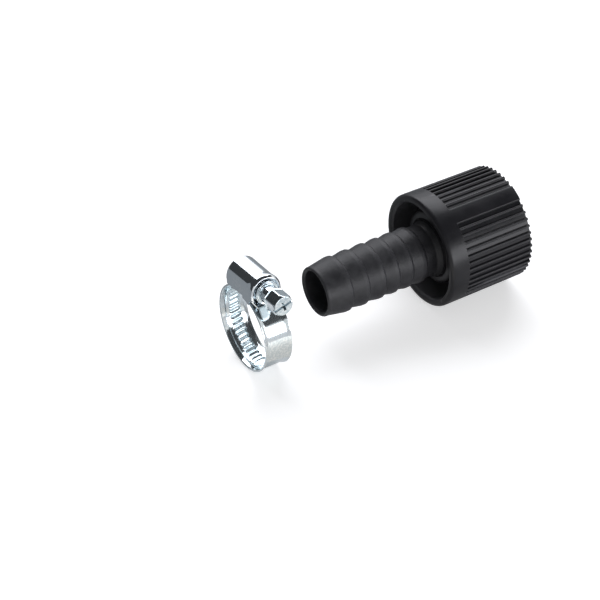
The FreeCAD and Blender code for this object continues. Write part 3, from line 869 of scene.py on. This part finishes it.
# Cuts the long slot and the short cross slot into the head's face
def cutSlots(screw, tipX, s):
    turn = math.radians(s["slotTurnDeg"])
    half = s["slotW"] / 2
    cutters = []
    for name, halfAcross, halfUp in (("longSlot", s["hexAf"], half), ("crossSlot", half, s["crossLen"] / 2)):
        box = []
        for x in (tipX - s["slotDepth"], tipX + 0.5):
            for a, b in ((-1, -1), (1, -1), (1, 1), (-1, 1)):
                y = a * halfAcross
                z = b * halfUp
                box.append((x, y * math.cos(turn) - z * math.sin(turn),
                            s["axisZ"] + y * math.sin(turn) + z * math.cos(turn)))
        faces = [(0, 1, 2, 3), (7, 6, 5, 4), (0, 4, 5, 1), (1, 5, 6, 2), (2, 6, 7, 3), (3, 7, 4, 0)]
        cutters.append(makePiece(name, placed(box), faces))
    for cutter in cutters:
        cut = screw.modifiers.new(cutter.name, "BOOLEAN")
        cut.operation = "DIFFERENCE"
        cut.solver = "EXACT"
        cut.object = cutter
    bpy.context.view_layer.update()
    carved = bpy.data.meshes.new_from_object(screw.evaluated_get(bpy.context.evaluated_depsgraph_get()))
    screw.modifiers.clear()
    screw.data = carved
    carved.shade_smooth()
    carved.set_sharp_from_angle(angle=math.radians(34))
    for cutter in cutters:
        bpy.data.objects.remove(cutter)
    along = np.array([localPoint(vertex.co / mm)[0] for vertex in carved.vertices])
    markPressMattAndRecessLight(screw, along > tipX - 0.2)


clipScrew = makeClipScrew(screwSizes)
dress(clipScrew, "clip_screw", "screw", screwSteel)
print("clip screw made:", len(clipScrew.data.polygons), "faces")


# Stage: white floor and backdrop light, dark and grey glowing cards as painted reflections for the metal and
# plastic, lamps, camera
stageSizes = {
    "floorZ": -20.93, "floorHalf": 3000.0, "floorColor": (0.75, 0.75, 0.75),
    "cameraLift": 0.52, "glossyLift": 0.05, "worldDiffuse": 0.24, "worldGlossy": 0.8,
    "cardDistance": 1400.0, "cardStepDeg": 4.0, "cardTint": (0.94, 1.0, 1.06),
    # Painted reflections: glowing dome cards, dark for the room's walls and ceiling and greyer low down near the
    # horizon
    "cards": {
        "ceilingCard": {"around": (-60, 122), "up": (27, 89), "level": 0.045},
        "leftCard": {"around": (122, 186), "up": (7, 89), "level": 0.045},
        "leftLowCard": {"around": (100, 160), "up": (-2, 7), "level": 0.42},
        "leftLowerCard": {"around": (160, 186), "up": (-2, 7), "level": 0.2},
        "wallCard": {"around": (186, 300), "up": (5, 89), "level": 0.045},
        "wallLowCard": {"around": (186, 300), "up": (-2, 5), "level": 0.27},
    },
    "sheetLift": 0.1, "sheetCentre": (-1.35, -100.35),
    "sheets": {
        # Painted reflection: a grey glowing floor sheet that paints the floor in shade beyond the object
        "floorCard": {"around": (100, 300), "reach": (30.0, 1400.0), "levels": (0.275, 0.275),
                      "tint": (0.94, 1.0, 1.06)},
        # Painted reflection: a glowing floor sheet, dimmer near the clip as painted shadow and brighter further
        # out as painted lit floor
        "floorGlow": {"around": (-70, 42), "reach": (15.0, 85.0), "levels": (0.6, 1.35),
                      "tint": (1.02, 1.0, 0.97)},
    },
}


def makeFloor(s):
    h = s["floorHalf"]
    mesh = bpy.data.meshes.new("floor")
    mesh.from_pydata([(x * mm, y * mm, s["floorZ"] * mm) for x, y in ((-h, -h), (h, -h), (h, h), (-h, h))],
                     [], [(0, 1, 2, 3)])
    floor = bpy.data.objects.new("floor", mesh)
    bpy.context.scene.collection.objects.link(floor)
    material = bpy.data.materials.new("floorWhite")
    material.use_nodes = True
    tree = material.node_tree
    tree.nodes.clear()
    diffuse = tree.nodes.new("ShaderNodeBsdfDiffuse")
    diffuse.inputs["Color"].default_value = s["floorColor"] + (1.0,)
    glow = tree.nodes.new("ShaderNodeEmission")
    path = tree.nodes.new("ShaderNodeLightPath")
    mirrored = mathNode(tree, "MAXIMUM", path.outputs["Is Glossy Ray"], path.outputs["Is Transmission Ray"])
    seen = mathNode(tree, "MULTIPLY", path.outputs["Is Camera Ray"], s["cameraLift"])
    mirrored = mathNode(tree, "MULTIPLY", mirrored, s["glossyLift"])
    tree.links.new(mathNode(tree, "MAXIMUM", seen, mirrored), glow.inputs["Strength"])
    both = tree.nodes.new("ShaderNodeAddShader")
    tree.links.new(diffuse.outputs[0], both.inputs[0])
    tree.links.new(glow.outputs[0], both.inputs[1])
    out = tree.nodes.new("ShaderNodeOutputMaterial")
    tree.links.new(both.outputs[0], out.inputs["Surface"])
    mesh.materials.append(material)


# A material that glows grey, even or from one level to another away from the clip; a rising level paints the
# clip's shadow on the floor, dim near the clip, into reflections
def cardMaterial(name, levels, tint, reach=None, centre=None):
    material = bpy.data.materials.new(name)
    material.use_nodes = True
    tree = material.node_tree
    tree.nodes.clear()
    glow = tree.nodes.new("ShaderNodeEmission")
    glow.inputs["Color"].default_value = tint + (1.0,)
    glow.inputs["Strength"].default_value = levels[0]
    if levels[0] != levels[1]:
        away = tree.nodes.new("ShaderNodeVectorMath")
        away.operation = "DISTANCE"
        tree.links.new(tree.nodes.new("ShaderNodeTexCoord").outputs["Object"], away.inputs[0])
        away.inputs[1].default_value = centre
        level = rangeNode(tree, away.outputs["Value"], reach[0] * mm, reach[1] * mm, *levels)
        tree.links.new(level, glow.inputs["Strength"])
    out = tree.nodes.new("ShaderNodeOutputMaterial")
    tree.links.new(glow.outputs[0], out.inputs["Surface"])
    return material


# Cards that only reflections see, glowing as painted reflections: parts of a dome round the object for the dark
# room, and sheets on the floor for the floor's shade and light
def makeCards(s):
    cards = []
    for name, card in s["cards"].items():
        around = np.radians(np.arange(card["around"][0], card["around"][1] + 0.1, s["cardStepDeg"] / 2))
        up = np.radians(np.linspace(*card["up"], 12))
        r = s["cardDistance"]
        points = [(r * math.cos(e) * math.cos(a), r * math.cos(e) * math.sin(a), r * math.sin(e))
                  for e in up for a in around]
        piece = makePiece(name, points, gridFaces(len(up), len(around), False, False))
        piece.data.materials.append(cardMaterial(name, (card["level"], card["level"]), s["cardTint"]))
        cards.append(piece)
    centre = (*s["sheetCentre"], s["floorZ"] + s["sheetLift"])
    for name, sheet in s["sheets"].items():
        around = np.radians(np.arange(sheet["around"][0], sheet["around"][1] + 0.1, s["cardStepDeg"]))
        points = [(centre[0] + r * math.cos(a), centre[1] + r * math.sin(a), centre[2])
                  for r in sheet["reach"] for a in around]
        piece = makePiece(name, points, gridFaces(2, len(around), False, False))
        place = tuple(value * mm for value in centre)
        glow = cardMaterial(name, sheet["levels"], sheet["tint"], sheet["reach"], place)
        piece.data.materials.append(glow)
        cards.append(piece)
    for card in cards:
        card.visible_camera = False
        card.visible_diffuse = False
        card.visible_transmission = False
        card.visible_shadow = False


def makeWorld(s):
    world = bpy.data.worlds.new("studio")
    bpy.context.scene.world = world
    world.use_nodes = True
    tree = world.node_tree
    tree.nodes.clear()
    shade = tree.nodes.new("ShaderNodeBackground")
    out = tree.nodes.new("ShaderNodeOutputWorld")
    path = tree.nodes.new("ShaderNodeLightPath")
    mirrored = mathNode(tree, "MAXIMUM", path.outputs["Is Glossy Ray"], path.outputs["Is Transmission Ray"])
    mirrored = mathNode(tree, "MULTIPLY", mirrored, s["worldGlossy"])
    level = mathNode(tree, "MAXIMUM", mathNode(tree, "MAXIMUM", mirrored, path.outputs["Is Camera Ray"]),
                     s["worldDiffuse"])
    shade.inputs["Color"].default_value = (1.0, 1.0, 1.0, 1.0)
    tree.links.new(level, shade.inputs["Strength"])
    tree.links.new(shade.outputs[0], out.inputs["Surface"])


lampColor = (0.97, 0.98, 1.03)
lampDistance = 1.0
lamps = [
    {"name": "leftSoftbox", "aroundDeg": 155, "upDeg": 46.5, "size": (1.25, 0.70), "level": 3.5},
    {"name": "leftLowSoftbox", "aroundDeg": 155, "upDeg": 17.5, "size": (1.25, 0.34), "level": 1.3},
    {"name": "rightSoftbox", "aroundDeg": 22, "upDeg": 9.5, "size": (1.35, 0.46), "level": 4.1},
]


# A softbox as bright as its level, where 1 is white, at an angle round and above the target
def makeLamp(s, target):
    data = bpy.data.lights.new(s["name"], "AREA")
    data.shape = "RECTANGLE"
    data.size, data.size_y = s["size"]
    data.energy = math.pi * data.size * data.size_y * s["level"]
    data.color = lampColor
    lamp = bpy.data.objects.new(s["name"], data)
    bpy.context.scene.collection.objects.link(lamp)
    around = math.radians(s["aroundDeg"])
    up = math.radians(s["upDeg"])
    away = Vector((math.cos(up) * math.cos(around), math.cos(up) * math.sin(around), math.sin(up)))
    lamp.location = Vector(target) + away * lampDistance
    lamp.rotation_euler = away.to_track_quat("Z", "Y").to_euler()
    lamp.visible_camera = False


cameraSizes = {"azimuthDeg": 58.32, "elevationDeg": 39.55, "distance": 918.0, "right": -70.93, "up": -28.49,
               "lens": 154.44}


def makeCamera(s):
    a = math.radians(s["azimuthDeg"])
    e = math.radians(s["elevationDeg"])
    right = Vector((math.cos(a), math.sin(a), 0))
    back = Vector((math.sin(a) * math.cos(e), -math.cos(a) * math.cos(e), math.sin(e)))
    up = back.cross(right)
    data = bpy.data.cameras.new("camera")
    data.lens = s["lens"]
    data.sensor_width = 36.0
    data.clip_start = 0.01
    data.clip_end = 20.0
    camera = bpy.data.objects.new("camera", data)
    bpy.context.scene.collection.objects.link(camera)
    camera.location = (right * s["right"] + up * s["up"] + back * s["distance"]) * mm
    camera.rotation_euler = back.to_track_quat("Z", "Y").to_euler()
    bpy.context.scene.camera = camera


makeFloor(stageSizes)
makeCards(stageSizes)
makeWorld(stageSizes)
middle = (0.0, -0.05, 0.0)
for lamp in lamps:
    makeLamp(lamp, middle)
makeCamera(cameraSizes)
bpy.context.scene.view_settings.view_transform = "Standard"
print("stage made")
